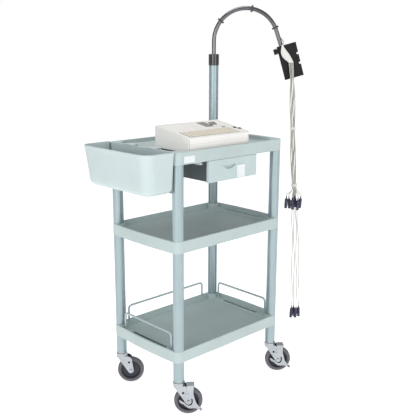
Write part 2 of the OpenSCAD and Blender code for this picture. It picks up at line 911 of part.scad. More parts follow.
// A spur gear outline with trapezoid teeth
function gear_points(n, m) = [for (i = [0 : n - 1]) for (q = [[-0.3, -1.1], [-0.14, 0.8], [0.14, 0.8], [0.3, -1.1]])
    let (a = 360 * (i + q[0]) / n, r = m * n / 2 + q[1] * m) [r * cos(a), r * sin(a)]];

module platen_roller() {
    color([0.2, 0.2, 0.21])
        translate([0, platen_y, platen_z])
            rotate([0, 90, 0]) {
                translate([0, 0, -171])
                    cylinder(r = platen_r, h = 82);
                translate([0, 0, gear_x])
                    cylinder(r = shaft_r, h = -171 - gear_x + 1);
                translate([0, 0, -90])
                    cylinder(r = shaft_r, h = 8);
                translate([0, 0, gear_x])
                    linear_extrude(gear_t)
                        polygon(gear_points(platen_teeth, gear_mod));
            }
}

module motor_pinion() {
    color([0.8, 0.72, 0.4])
        translate([0, platen_y, platen_z - gear_dist])
            rotate([0, 90, 0])
                translate([0, 0, gear_x]) {
                    linear_extrude(gear_t)
                        rotate([0, 0, 180 / pinion_teeth])
                            polygon(gear_points(pinion_teeth, gear_mod));
                    translate([0, 0, gear_t - 0.5])
                        cylinder(r = pinion_shaft_r, h = 6);
                }
}

module feed_motor() {
    color([0.6, 0.6, 0.62])
        translate([gear_x + gear_t + 1, platen_y, platen_z - gear_dist])
            rotate([0, 90, 0])
                difference() {
                    cylinder(r = motor_r, h = 24);
                    translate([0, 0, -1])
                        cylinder(r = pinion_shaft_r + fit, h = 8);
                }
}

// Patient connector socket and mains inlet in the recorder's rear wall
module rear_sockets() {
    color([0.15, 0.15, 0.16]) {
        translate([patient_x, rec_y1, socket_z])
            difference() {
                translate([-17.5, -8, -5.5])
                    cube([35, 10, 11]);
                translate([-15, -5, -3.5])
                    cube([30, 10, 7]);
            }
        translate([mains_x, rec_y1, socket_z])
            difference() {
                translate([-13.5, -14, -9.5])
                    cube([27, 16, 19]);
                translate([-11, -11, -7.5])
                    cube([22, 20, 15]);
            }
    }
}

module recorder_feet() {
    color([0.15, 0.15, 0.16])
        for (x = [rec_x0 + 18, rec_x1 - 22])
            for (y = [rec_y0 + 18, rec_y1 - 20])
                translate([x, y, rec_z0 - foot_h])
                    cylinder(r = 7, h = foot_h);
}

module printer_door() {
    w = door_x[1] - door_x[0];
    color([0.9, 0.89, 0.87])
        on_lid() {
            difference() {
                translate([door_x[0], door_u[0], -2.8])
                    cube([w, door_u[1] - door_u[0], 2.8]);
                translate([door_x[0] + 12, door_u[0] - 1, -1])
                    cube([w - 24, 3, 3]);
            }
            translate([door_x[0] + 0.3, door_hinge[0], door_hinge[1]])
                rotate([0, 90, 0])
                    cylinder(r = 2.2, h = w - 0.6);
            translate([door_x[0] - ear_t, door_hinge[0], door_hinge[1]])
                rotate([0, 90, 0])
                    cylinder(r = 1.5, h = w + 2 * ear_t);
        }
}

module button(k) {
    color([0.12, 0.12, 0.13])
        on_lid()
            translate([button_at[k][0], button_at[k][1], -6]) {
                cylinder(r = button_r, h = 9);
                translate([0, 0, -0.5])
                    cylinder(r = button_r + 1.5, h = 1.5);
            }
}

module start_button() { button(0); }
module stop_button() { button(1); }

module power_rocker() {
    color([0.1, 0.1, 0.1])
        translate([rocker_x, rec_y1 - 1.5, socket_z]) {
            rotate([4, 0, 0])
                translate([-6.4, -6, -9.2])
                    cube([12.8, 8, 18.4]);
            translate([-9, 0, 0])
                rotate([0, 90, 0])
                    cylinder(r = 1.1, h = 18);
        }
}

// The bin's outline at height offset dz from the rim, inset by a wall
module bin_slice(inset, taper) {
    x0 = bin_x0 + inset + taper;
    x1 = bin_x1 - inset;
    y0 = -bin_l / 2 + inset + taper;
    y1 = bin_l / 2 - inset - taper;
    r = 38 - inset;
    r1 = 6 - inset;
    polygon(concat(arc(x0 + r, y0 + r, r, 180, 270, 8), arc(x1 - r1, y0 + r1, r1, 270, 360, 3),
        arc(x1 - r1, y1 - r1, r1, 0, 90, 3), arc(x0 + r, y1 - r, r, 90, 180, 8)));
}

// A tapered solid between two outlines of the bin
module bin_solid(inset, z0, z1) {
    hull() {
        translate([0, 0, z1 - 0.1])
            linear_extrude(0.1)
                bin_slice(inset, 0);
        translate([0, 0, z0 + 14])
            linear_extrude(0.1)
                bin_slice(inset, bin_taper * 0.8);
        translate([0, 0, z0])
            linear_extrude(0.1)
                bin_slice(inset + 7, bin_taper * 0.9);
    }
}

module side_bin() {
    hook_x = -ledge_slot_x - ledge_slot_w / 2 + 1;
    color([0.83, 0.89, 0.89]) {
        difference() {
            bin_solid(0, bin_z0, bin_z1);
            bin_solid(bin_wall, bin_z0 + bin_wall, bin_z1 + 1);
        }
        for (y = [-80, 40])
            translate([bin_x1 - 3, y, 0]) {
                translate([0, 0, bin_z1 - 6])
                    cube([3, 40, 9]);
                translate([0, 0, top_z + 1.5])
                    cube([hook_x + 4 - bin_x1 + 3, 40, 3]);
                translate([hook_x - bin_x1 + 3, 0, top_z - deck_drop - 1])
                    cube([4, 40, deck_drop + 5]);
            }
    }
}

// Soft strips that hold the bin upright against the trolley's side
module bin_buffers() {
    color([0.42, 0.47, 0.47])
        for (y = [-bin_l / 2 + 8, bin_l / 2 - 20])
            translate([bin_x1 + 0.05, y, bin_z0 + 2])
                cube([8.7, 12, bin_h - 6]);
}

module drawer_tray() {
    y0 = -front_y + 12;
    color([0.3, 0.34, 0.34]) {
        difference() {
            translate([-tray_w / 2, y0, drawer_z0 + 2])
                cube([tray_w, tray_l, drawer_h - 14]);
            translate([-tray_w / 2 + 2.5, y0 - 1, drawer_z0 + 4.5])
                cube([tray_w - 5, tray_l - 1.5, drawer_h]);
        }
        for (s = [0, 1])
            mirror([s, 0, 0])
                translate([tray_w / 2 - 2.5, y0, top_z - skirt_h - 10.5])
                    cube([12, tray_l, 5]);
        for (s = [0, 1])
            mirror([s, 0, 0])
                translate([tray_w / 2 - 2.5, y0, drawer_z0 + drawer_h - 12.5])
                    cube([2.5, tray_l, 7]);
    }
}

module drawer_front() {
    color([0.77, 0.83, 0.83])
        translate([0, -front_y, drawer_z0])
            difference() {
                translate([-drawer_w / 2, 0, 0])
                    cube([drawer_w, 11.9, drawer_h]);
                translate([-19, 7, 42])
                    rotate([90, 0, 0])
                        linear_extrude(10)
                            polygon(arc(0, 42, 45, 225, 315, 10));
                translate([-drawer_w / 2 + 3, 9, 3])
                    cube([drawer_w - 6, 5, drawer_h - 6]);
            }
}

module label_holder() {
    color([0.93, 0.95, 0.95])
        translate([17, -front_y - 2.1, drawer_z0 + 3])
            difference() {
                cube([40, 2, 44]);
                translate([4, -1, 5])
                    cube([32, 2, 34]);
            }
}

top_shelf();
middle_shelf();
bottom_shelf();
column_front_left();
column_front_right();
column_rear_left();
column_rear_right();
shelf_screws();
guard_rail_left();
guard_rail_right();
guard_rail_rear();
drawer_runners();
caster_stems();
pole_collar();
trunk_cable_pole();
trunk_connector();
recorder_base();
recorder_cover();
keypad();
display_window();
circuit_boards();
battery_pack();
print_head();
paper_pack();
feed_motor();
rear_sockets();
recorder_feet();
side_bin();
bin_buffers();
drawer_tray();
drawer_front();
label_holder();
arm_tube();
cable_clips();
lead_hanger();
yoke();
trunk_cable_arm();
chest_leads();
limb_leads();
lead_clips();
printer_door();
platen_roller();
motor_pinion();
start_button();
stop_button();
power_rocker();
fork_front_left();
fork_front_right();
fork_rear_left();
fork_rear_right();
tyre_front_left();
tyre_front_right();
tyre_rear_left();
tyre_rear_right();
hub_front_left();
hub_front_right();
hub_rear_left();
hub_rear_right();
brake_pedal_left();
brake_pedal_right();
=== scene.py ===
"""Looks for the ECG trolley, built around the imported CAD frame. Metres, in the row frame."""
import json
import math

import bmesh
import bpy
from mathutils import Matrix, Vector


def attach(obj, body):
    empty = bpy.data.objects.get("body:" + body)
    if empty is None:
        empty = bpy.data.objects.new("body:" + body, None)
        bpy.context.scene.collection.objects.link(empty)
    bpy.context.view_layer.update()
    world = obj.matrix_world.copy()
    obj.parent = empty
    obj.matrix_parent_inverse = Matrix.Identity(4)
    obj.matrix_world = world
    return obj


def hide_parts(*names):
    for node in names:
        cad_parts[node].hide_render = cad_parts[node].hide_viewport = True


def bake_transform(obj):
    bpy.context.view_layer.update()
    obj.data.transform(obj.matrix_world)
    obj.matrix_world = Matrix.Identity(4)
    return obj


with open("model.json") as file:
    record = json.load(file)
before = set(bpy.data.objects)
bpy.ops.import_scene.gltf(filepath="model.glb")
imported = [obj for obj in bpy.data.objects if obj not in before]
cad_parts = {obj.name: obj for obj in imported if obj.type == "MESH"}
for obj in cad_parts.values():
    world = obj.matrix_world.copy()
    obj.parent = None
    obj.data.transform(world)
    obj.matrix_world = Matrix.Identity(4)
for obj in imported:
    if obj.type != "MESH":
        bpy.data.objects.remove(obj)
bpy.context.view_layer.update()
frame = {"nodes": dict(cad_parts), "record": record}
nodes = frame["nodes"]
scene = bpy.context.scene
scene.view_settings.view_transform = "Standard"
MM = 0.001

# how far the four columns stand from the trolley's middle, and their radius, in metres
COL_X, COL_Y, COL_R = 0.241, 0.1635, 0.019


# ---------------------------------------------------------------- camera
def make_camera():
    """The camera of the main view, placed by its turn, pitch and roll."""
    cam = bpy.data.objects.new("camera", bpy.data.cameras.new("camera"))
    scene.collection.objects.link(cam)
    place = (-1.7044, -1.8161, 1.2697)
    turn, pitch, roll = math.radians(44.09), math.radians(13.4), math.radians(0.29)
    level = math.cos(pitch)
    ahead = Vector((math.sin(turn) * level, math.cos(turn) * level, -math.sin(pitch)))
    right = Vector((math.cos(turn), -math.sin(turn), 0))
    up = right.cross(ahead)
    right, up = (
        right * math.cos(roll) + up * math.sin(roll),
        up * math.cos(roll) - right * math.sin(roll),
    )
    turned = Matrix((right, up, -ahead)).transposed().to_4x4()
    cam.matrix_world = Matrix.Translation(place) @ turned
    cam.data.sensor_width = 36
    cam.data.lens = 59.7
    cam.data.clip_end = 50
    scene.camera = cam


make_camera()


# ---------------------------------------------------------------- materials
class Nodes:
    """A small helper that adds nodes to one material and joins them."""

    def __init__(self, name):
        self.mat = bpy.data.materials.new(name)
        self.mat.use_nodes = True
        self.tree = self.mat.node_tree
        self.shader = self.tree.nodes["Principled BSDF"]
        self.place = self.add("ShaderNodeTexCoord").outputs["Object"]

    def add(self, kind, **values):
        node = self.tree.nodes.new(kind)
        for key, value in values.items():
            setattr(node, key, value)
        return node

    def join(self, a, b):
        self.tree.links.new(a, b)

    def noise(self, scale, detail=3.0, stretch=(1, 1, 1), rough=0.5):
        mapping = self.add("ShaderNodeMapping")
        mapping.inputs["Scale"].default_value = stretch
        self.join(self.place, mapping.inputs["Vector"])
        node = self.add("ShaderNodeTexNoise")
        node.inputs["Scale"].default_value = scale
        node.inputs["Detail"].default_value = detail
        node.inputs["Roughness"].default_value = rough
        self.join(mapping.outputs["Vector"], node.inputs["Vector"])
        return node.outputs["Fac"]

    def remap(self, value, low, high, from_low=0.3, from_high=0.7):
        node = self.add("ShaderNodeMapRange")
        ends = {"From Min": from_low, "From Max": from_high, "To Min": low, "To Max": high}
        for key, number in ends.items():
            node.inputs[key].default_value = number
        self.join(value, node.inputs["Value"])
        return node.outputs["Result"]

    def mix(self, factor, a, b):
        node = self.add("ShaderNodeMix", data_type="RGBA")
        self.join(factor, node.inputs["Factor"])
        for value, socket in ((a, node.inputs["A"]), (b, node.inputs["B"])):
            if hasattr(value, "links"):
                self.join(value, socket)
            else:
                socket.default_value = (*value, 1)
        return node.outputs["Result"]

    def bump(self, height, strength, distance, under=None):
        node = self.add("ShaderNodeBump")
        node.inputs["Strength"].default_value = strength
        node.inputs["Distance"].default_value = distance
        self.join(height, node.inputs["Height"])
        if under is not None:
            self.join(under, node.inputs["Normal"])
        return node.outputs["Normal"]

    def set(self, **values):
        for key, value in values.items():
            socket = self.shader.inputs[key.replace("_", " ")]
            if hasattr(value, "links"):
                self.join(value, socket)
            elif isinstance(value, tuple):
                socket.default_value = (*value, 1) if len(value) == 3 else value
            else:
                socket.default_value = value
        return self.mat


def linear(c):
    """One 8-bit channel of a display colour as a linear number."""
    return c / 255 / 12.92 if c <= 10 else ((c / 255 + 0.055) / 1.055) ** 2.4


def srgb(r, g, b):
    """An 8-bit display colour as linear numbers."""
    return tuple(linear(c) for c in (r, g, b))


def scaled(color, k):
    """A colour made lighter or darker by a factor."""
    return tuple(min(1.0, c * k) for c in color)


def plastic(name, color, rough=0.42, grain=2600, grain_depth=0.00006, vary=0.05, spec=0.45, coat=0.0):
    """Moulded plastic: a fine spark-eroded grain, slow colour drift and rubbed patches."""
    n = Nodes(name)
    drift = n.remap(n.noise(9, 4), 0, 1)
    base = n.mix(drift, scaled(color, 1 - vary), scaled(color, 1 + vary * 0.6))
    scuff = n.remap(n.noise(55, 5, rough=0.7), rough - 0.06, rough + 0.09)
    normal = n.bump(n.noise(grain, 2), 0.35, grain_depth)
    normal = n.bump(n.noise(38, 2), 0.12, 0.0012, normal)
    return n.set(Base_Color=base, Roughness=scuff, Normal=normal, Specular_IOR_Level=spec,
                 Coat_Weight=coat)


def metal(name, color, rough=0.25, metallic=1.0, streak=(1, 1, 1), streak_depth=0.00004, vary=0.06,
          spots=0.0):
    """Metal: drawn streaks along one direction, uneven polish and, where asked, dull spots."""
    n = Nodes(name)
    lines = n.noise(900, 3, stretch=streak)
    base = n.mix(n.remap(n.noise(14, 4), 0, 1), scaled(color, 1 - vary), scaled(color, 1 + vary))
    if spots:
        base = n.mix(n.remap(n.noise(260, 4), 0, spots, 0.5, 0.75), base, scaled(color, 0.55))
    shine = n.remap(lines, rough - 0.05, rough + 0.1)
    normal = n.bump(lines, 0.3, streak_depth)
    return n.set(Base_Color=base, Roughness=shine, Metallic=metallic, Normal=normal)


# the stretch of a noise that leaves streaks along the height, and of one that leaves none
DRAWN_Z = (1, 1, 0.02)
EVEN = (1, 1, 1)
mats = {
    "shelf_plastic": plastic("shelf_plastic", srgb(178, 192, 192), 0.5),
    "front_plastic": plastic("front_plastic", srgb(182, 197, 198), 0.48),
    "bin_plastic": plastic("bin_plastic", srgb(188, 201, 202), 0.46),
    "column_aluminium": metal("column_aluminium", srgb(157, 174, 178), 0.36, 0.5, DRAWN_Z, 0.00003, 0.03),
    "steel": metal("steel", srgb(180, 182, 186), 0.3, 1.0, EVEN, 0.00003, 0.05, 0.2),
    "rail_paint": metal("rail_paint", srgb(182, 196, 200), 0.3, 0.4, EVEN, 0.00002, 0.03),
    "white_plastic": plastic("white_plastic", srgb(220, 226, 228), 0.4),
    "black_plastic": plastic("black_plastic", srgb(12, 12, 14), 0.24, 1800, 0.00003, 0.1, 0.6, 0.4),
    "hanger_black": plastic("hanger_black", srgb(9, 9, 11), 0.5, 1500, 0.0001, 0.15, 0.3),
    "black_rubber": plastic("black_rubber", srgb(38, 38, 40), 0.7, 1200, 0.00012, 0.15, 0.3),
    "cable_grey": plastic("cable_grey", srgb(206, 206, 200), 0.42, 1500, 0.00004, 0.05),
    "connector_grey": plastic("connector_grey", srgb(212, 212, 207), 0.44, 2200, 0.00006, 0.05),
    "case_plastic": plastic("case_plastic", srgb(233, 231, 227), 0.46, 3000, 0.00007, 0.03),
    "keypad_silicone": plastic("keypad_silicone", srgb(226, 219, 203), 0.5, 2400, 0.00004, 0.04),
    "circuit_board": plastic("circuit_board", srgb(38, 110, 74), 0.35, 900, 0.00005, 0.2, 0.5, 0.2),
    "battery_wrap": plastic("battery_wrap", srgb(70, 110, 170), 0.3, 900, 0.00003, 0.1),
    "brass": metal("brass", srgb(214, 184, 110), 0.25, 1.0, EVEN, 0.00003, 0.08, 0.2),
    # painted shade: the buffers are real parts, but their mid-grey is darkened to stand for the shade in the
    # narrow gap between bin and column
    "buffer_rubber": plastic("buffer_rubber", srgb(128, 138, 139), 0.7, 1200, 0.0001, 0.1, 0.3),
    # painted shade: this dark grey stands for the shade inside the drawer's housing
    "tray_plastic": plastic("tray_plastic", srgb(70, 78, 79), 0.5, 2000, 0.00006, 0.08),
    "chrome": metal("chrome", srgb(108, 108, 112), 0.16, 1.0, EVEN, 0.00001, 0.02, 0.06),
    "clip_grey": plastic("clip_grey", srgb(58, 59, 63), 0.4, 1800, 0.00004, 0.08),
    "lead_wire": plastic("lead_wire", srgb(178, 176, 167), 0.42, 1800, 0.00004, 0.05),
    "clip_navy": plastic("clip_navy", srgb(22, 24, 64), 0.28, 1800, 0.00004, 0.12, 0.55, 0.3),
    "zinc": metal("zinc", srgb(178, 182, 187), 0.22, 1.0, EVEN, 0.00005, 0.07, 0.3),
    "tyre": plastic("tyre", srgb(101, 97, 103), 0.6, 1100, 0.0001, 0.12, 0.35),
    "hub_plastic": plastic("hub_plastic", srgb(38, 41, 52), 0.38, 2000, 0.00005, 0.12),
}


def paper_material():
    """Chart paper: a faint red grid of squares on a warm white sheet."""
    n = Nodes("paper")
    brick = n.add("ShaderNodeTexBrick", offset=0.0)
    sheet, line = (*srgb(245, 240, 236), 1), (*srgb(232, 170, 165), 1)
    grid = {"Scale": 200.0, "Mortar Size": 0.03, "Brick Width": 1.0, "Row Height": 1.0}
    for key, value in {**grid, "Color1": sheet, "Color2": sheet, "Mortar": line}.items():
        brick.inputs[key].default_value = value
    n.join(n.place, brick.inputs["Vector"])
    fibre = n.noise(1500, 4)
    normal = n.bump(fibre, 0.3, 0.00005)
    return n.set(Base_Color=brick.outputs["Color"], Roughness=n.remap(fibre, 0.65, 0.85), Normal=normal)


def display_material():
    """A blank grey liquid-crystal panel, slightly uneven in tone and shine."""
    n = Nodes("display")
    base = n.mix(n.remap(n.noise(30, 2), 0, 1), srgb(128, 122, 120), srgb(150, 145, 140))
    shine = n.remap(n.noise(40, 2), 0.18, 0.28)
    return n.set(Base_Color=base, Roughness=shine, Specular_IOR_Level=0.35)


mats["paper"] = paper_material()
mats["display"] = display_material()
slot_of = {s["node"]: s["material_slot"] for s in frame["record"]["subparts"]}
body_of = {n: b for b, ns in frame["record"]["behaviour"]["bodies"].items() for n in ns}


# ---------------------------------------------------------------- mesh helpers
# edges that turn by more than this are rounded
EDGE_ANGLE = math.radians(32)


def finish_mesh(name, bm, body, slot, replaced=(), sharp=38):
    """Turns a bmesh into a piece that rides on a body, wears a slot's material and replaces nodes.

    Without a body, the piece is not attached to any body.
    """
    mesh = bpy.data.meshes.new(name)
    bm.to_mesh(mesh)
    bm.free()
    mesh.materials.clear()
    mesh.materials.append(mats[slot])
    for face in mesh.polygons:
        face.use_smooth = True
    mesh.set_sharp_from_angle(angle=math.radians(sharp))
    piece = bpy.data.objects.new(name, mesh)
    scene.collection.objects.link(piece)
    if body:
        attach(piece, body)
    if replaced:
        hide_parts(*replaced)
    return piece


def bevel(piece, width, segments):
    """Rounds a piece's edges with a modifier."""
    mod = piece.modifiers.new("edge", "BEVEL")
    mod.width = width
    mod.segments = segments
    mod.limit_method = "ANGLE"
    mod.angle_limit = EDGE_ANGLE
    mod.harden_normals = True
    mod.use_clamp_overlap = False
    mod.miter_outer = "MITER_ARC"


def clean_copy(node):
    """A bmesh of a CAD node with its flat faces merged."""
    bm = bmesh.new()
    bm.from_mesh(nodes[node].data)
    bmesh.ops.remove_doubles(bm, verts=bm.verts, dist=2e-6)
    bmesh.ops.recalc_face_normals(bm, faces=bm.faces)
    bmesh.ops.dissolve_limit(bm, angle_limit=math.radians(0.3), verts=bm.verts, edges=bm.edges)
    return bm


def rounded(node, width, segments=2, sharp=38):
    """Stands for a CAD node with the same shape and rounded edges."""
    bm = clean_copy(node)
    edges = [e for e in bm.edges if len(e.link_faces) == 2 and e.calc_face_angle() > EDGE_ANGLE]
    bmesh.ops.bevel(bm, geom=edges, offset=width, segments=segments, profile=0.5, affect="EDGES",
                    clamp_overlap=False)
    bmesh.ops.triangulate(bm, faces=[f for f in bm.faces if len(f.verts) > 4])
    piece = finish_mesh(node + "_round", bm, body_of[node], slot_of[node], (node,), sharp)
    piece.modifiers.new("shade", "WEIGHTED_NORMAL").keep_sharp = True


def smooth_route(points, steps):
    """Points of a Catmull-Rom curve through the given points."""
    pts = [Vector(p) for p in points]
    out = []
    for i in range(len(pts) - 1):
        a, b, c, d = pts[max(i - 1, 0)], pts[i], pts[i + 1], pts[min(i + 2, len(pts) - 1)]
        square, cube = 2 * a - 5 * b + 4 * c - d, 3 * b - a - 3 * c + d
        for k in range(steps):
            t = k / steps
            out.append(0.5 * (2 * b + (c - a) * t + square * t * t + cube * t ** 3))
    return out + [pts[-1]]


def curve_piece(name, points, radius, slot):
    """A round cord along a route, as a curve object."""
    data = bpy.data.curves.new(name, "CURVE")
    data.dimensions = "3D"
    data.bevel_depth = radius
    data.bevel_resolution = 3
    data.use_fill_caps = True
    spline = data.splines.new("POLY")
    spline.points.add(len(points) - 1)
    for point, place in zip(spline.points, points):
        point.co = (*place, 1)
    spline.use_smooth = True
    data.materials.append(mats[slot])
    piece = bpy.data.objects.new(name, data)
    scene.collection.objects.link(piece)
    return piece


def full_turn(count):
    """The angles of a full turn in equal steps."""
    return [2 * math.pi * k / count for k in range(count)]


def bridge(bm, rings, caps=True):
    """Joins rings of equal length with faces, and closes both ends where asked."""
    for a, b in zip(rings, rings[1:]):
        count = len(a)
        for k in range(count):
            bm.faces.new((a[k], a[(k + 1) % count], b[(k + 1) % count], b[k]))
    if caps:
        bm.faces.new(rings[0][::-1])
        bm.faces.new(rings[-1])


def tube_mesh(points, radius, sides=14):
    """A closed tube swept along points, as a bmesh."""
    bm = bmesh.new()
    rings = []
    normal = Vector((0.3, 0.9, 0.1))
    last = len(points) - 1
    for i, p in enumerate(points):
        ahead = (points[min(i + 1, last)] - points[max(i - 1, 0)]).normalized()
        normal = (normal - ahead * normal.dot(ahead)).normalized()
        across = ahead.cross(normal)
        rings.append([bm.verts.new(p + radius * (math.cos(a) * normal + math.sin(a) * across))
                      for a in full_turn(sides)])
    bridge(bm, rings)
    bmesh.ops.recalc_face_normals(bm, faces=bm.faces)
    return bm


# ---------------------------------------------------------------- cords
# the arm's plane: its origin on the pole's axis, its x axis along the arm
ARM = Matrix.Translation((COL_X, COL_Y, 0)) @ Matrix.Rotation(math.radians(-44), 4, "Z")
# the arm's bent top: its radius and the height of the bend's centre, in millimetres
ARM_R, ARM_RISE = 125, 1279


def arm_point(x, y, z):
    """A point given in the arm's plane, in millimetres, in the row frame."""
    return ARM @ Vector((x / 1000, y / 1000, z / 1000))


# the trunk cable's lower part, in millimetres in the row frame
TRUNK = [
    (40, 58, 965), (40, 76, 963), (44, 98, 950), (58, 118, 933), (82, 134, 922), (116, 146, 920),
    (156, 155, 920.5), (184, 163, 928), (203, 173, 936), (218, 184, 937), (233, 191.5, 942),
    (246, 190.5, 954), (254, 184, 970), (256.7, 179.7, 990), (256.7, 179.7, 1010), (256.7, 179.7, 1060),
    (256.7, 179.7, 1100),
]
trunk_low = smooth_route([Vector(p) / 1000 for p in TRUNK], 5)
trunk_cord = curve_piece("trunk_cable_lower", trunk_low, 0.003, "cable_grey")
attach(trunk_cord, "cart")
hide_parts("trunk_cable_pole")

# its upper part: up the pole in the row frame, then in the arm's plane round the bend to the yoke
TRUNK_TOP = [(256.7, 179.7, 1098), (256.7, 179.7, 1120), (256.7, 179.7, 1160)]
TRUNK_Y = 11.4
TRUNK_RISE = [
    (0, 22.6, 1181.2), (0, 24.3, 1188), (0, 24.6, 1200), (0, 24.6, 1212), (0, 24.2, 1232), (0, 16, 1250),
    (0, TRUNK_Y, 1266),
]
TRUNK_END = [
    (250, TRUNK_Y, 1306), (258, 10.4, 1296), (267.5, 4.5, 1286), (271, -4, 1280), (270.5, -14, 1274.5),
    (268, -21, 1268),
]
bend = [(ARM_R + ARM_R * math.cos(a), TRUNK_Y, ARM_RISE + ARM_R * math.sin(a))
        for a in (math.radians(degrees) for degrees in range(180, 19, -10))]
top_points = [Vector(p) / 1000 for p in TRUNK_TOP]
top_points += [arm_point(*p) for p in TRUNK_RISE + bend + TRUNK_END]
trunk_top = finish_mesh("trunk_cable_upper", tube_mesh(smooth_route(top_points, 4), 0.003), None,
                        "cable_grey", ("trunk_cable_arm",), 60)
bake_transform(trunk_top)

# the lead bundle as (x, z) in the arm's plane, in millimetres, down to where it divides
BUNDLE = [
    (301, 1201), (303, 1185), (305, 1165), (307, 1140), (309, 1110), (311, 1070), (313, 1025),
    (315, 980), (317, 930), (319.5, 880), (322, 830), (325, 780), (328, 730), (331, 700),
]
# where the chest leads meet their clips: the (x, y) of each, their height and how far each is off it
CHEST_END = [(300, -5), (323, -8), (334, 3), (347, -7), (359, 2), (311, 5)]
CHEST_Z = 663
CHEST_OFF = (2, -3, 4, -5, 1, -2)
# the (x, y) where each limb lead meets its clip, and the limb leads' route as (x, z)
LIMB_END = [(338, 14), (348, 26), (358, 14), (369, 24)]
LIMB = [
    (333, 650), (336, 600), (339, 550), (342, 500), (344, 450), (346, 400), (348, 350), (350, 300),
    (352, 250), (353, 205), (353, 181),
]
# the bundle's y, the spacing of its leads, the heights at which it is held together, and each
# clip's tilt in degrees
LEADS_Y = -24
PITCH = 3.8
HELD = (1201, 942, 712)
TILT = (5, -4, -8, 3, 7, -6, 4, -5, 6, -3)


def lead_route(k):
    """Centreline of lead k of ten, in millimetres in the arm's plane."""
    ox, oy = (k % 5 - 2) * PITCH, (k // 5 - 0.5) * PITCH
    route = []
    for x, z in BUNDLE:
        loose = min(1, *(abs(z - held) / 45 for held in HELD))
        sway_x = 2.4 * loose * math.sin(z / 34 + 2.3 * k)
        sway_y = 1.4 * loose * math.cos(z / 41 + 1.7 * k)
        route.append((x + ox + sway_x, LEADS_Y + oy + sway_y, z))
    if k < 6:
        ex, ey = CHEST_END[k]
        end_z = CHEST_Z + CHEST_OFF[k]
        route.append(((BUNDLE[-1][0] + ox + ex) / 2, LEADS_Y + (oy + ey) / 2, 682))
        route += [(ex, LEADS_Y + ey, end_z + 10), (ex, LEADS_Y + ey, end_z)]
    else:
        ex, ey = LIMB_END[k - 6]
        last = len(LIMB) - 1
        for i, (x, z) in enumerate(LIMB):
            t = i / last
            sway = 2.0 * math.sin(z / 36 + 2.3 * k) * min(1, t * 5, (1 - t) * 6)
            lead_x = x + ox * (1 - t) + (ex - LIMB[-1][0]) * math.sqrt(t) + sway
            route.append((lead_x, LEADS_Y + 16 + (ey - 16) * t + oy * (1 - t), z))
    return route


def lathe(bm, profile, place, sides=20):
    """Adds a turned solid to bm: profile is (radius, height) pairs from top to bottom, in metres."""
    rings = []
    for r, z in profile:
        rings.append([bm.verts.new(place @ Vector((r * math.cos(a), r * math.sin(a), z)))
                      for a in full_turn(sides)])
    for a, b in zip(rings, rings[1:]):
        for k in range(sides):
            bm.faces.new((a[k], b[k], b[(k + 1) % sides], a[(k + 1) % sides]))
    bm.faces.new(rings[0])
    bm.faces.new(rings[-1][::-1])


def clip_mesh(place):
    """An electrode grip: strain relief, ribbed body and a collar with a snap ring below."""
    bm = bmesh.new()
    neck = [(2.0, 1), (2.2, 0), (2.3, -1.5), (1.9, -2.2), (2.5, -3.4), (2.1, -4.2), (2.8, -5.4), (2.4, -6.2),
            (3.2, -7.6)]
    body = [(5.0, -8.6), (6.0, -10), (6.4, -13), (6.4, -20), (6.0, -21), (6.4, -22), (6.0, -23), (6.4, -24),
            (6.0, -25), (6.4, -26), (6.4, -38), (6.0, -41)]
    collar = [(5.0, -43), (5.0, -44), (6.1, -45), (6.2, -47), (5.6, -48)]
    lathe(bm, [(r * MM, z * MM) for r, z in neck + body + collar], place)
    bmesh.ops.recalc_face_normals(bm, faces=bm.faces)
    return bm


for k in range(10):
    points = [arm_point(*p) for p in smooth_route(lead_route(k), 3)]
    group = "chest_leads" if k < 6 else "limb_leads"
    end = points[-1]
    hang = Matrix.Rotation(math.radians(TILT[k]), 4, "Y") @ Matrix.Rotation(k * 0.7, 4, "Z")
    clip = finish_mesh(f"lead_clip_{k + 1}", clip_mesh(Matrix.Translation(end) @ hang), "arm",
                       "clip_navy", ("lead_clips",), 50)
    cord = curve_piece(f"patient_lead_{k + 1}", points, 0.0015, "lead_wire")
    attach(cord, "arm")
    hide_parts(group)


def oval(bm, x, y, z, half_x, half_y, power, count):
    """A ring in the arm's plane, in millimetres: an ellipse at power 1, squarer at a lower power."""
    ring = []
    for a in full_turn(count):
        dx = math.copysign(abs(math.cos(a)) ** power, math.cos(a)) * half_x
        dy = math.copysign(abs(math.sin(a)) ** power, math.sin(a)) * half_y
        ring.append(bm.verts.new(arm_point(x + dx, y + dy, z)))
    return ring


def tie(name, x, y, z, half_x, half_y, height):
    """A moulded band round the lead bundle at a height, in the arm's plane, in millimetres."""
    bm = bmesh.new()
    profile = ((0.0, -0.5), (0.7, -0.42), (0.9, 0), (0.7, 0.42), (0.0, 0.5))
    bridge(bm, [oval(bm, x, y, z + dz * height, half_x + r, half_y + r, 0.5, 28) for r, dz in profile])
    bmesh.ops.recalc_face_normals(bm, faces=bm.faces)
    return finish_mesh(name, bm, "arm", "cable_grey", (), 60)


tie("lead_tie_upper", 316.5, LEADS_Y, 942, 10.2, 4.6, 11)
tie("lead_tie_lower", 330, LEADS_Y, 712, 10.4, 5.0, 14)

# ---------------------------------------------------------------- the rest of the trolley
for node in nodes:
    mesh = nodes[node].data
    mesh.materials.clear()
    mesh.materials.append(mats[slot_of[node]])


def offset_loop(points, d):
    """A counter-clockwise outline moved outward by d."""
    out = []
    count = len(points)
    for i, p in enumerate(points):
        a, b, c = Vector(points[i - 1]), Vector(p), Vector(points[(i + 1) % count])
        e1, e2 = (b - a).normalized(), (c - b).normalized()
        n1, n2 = Vector((e1.y, -e1.x)), Vector((e2.y, -e2.x))
        m = (n1 + n2).normalized()
        out.append(tuple(b + m * d * min(1 / max(m.dot(n1), 0.5), 1.6)))
    return out


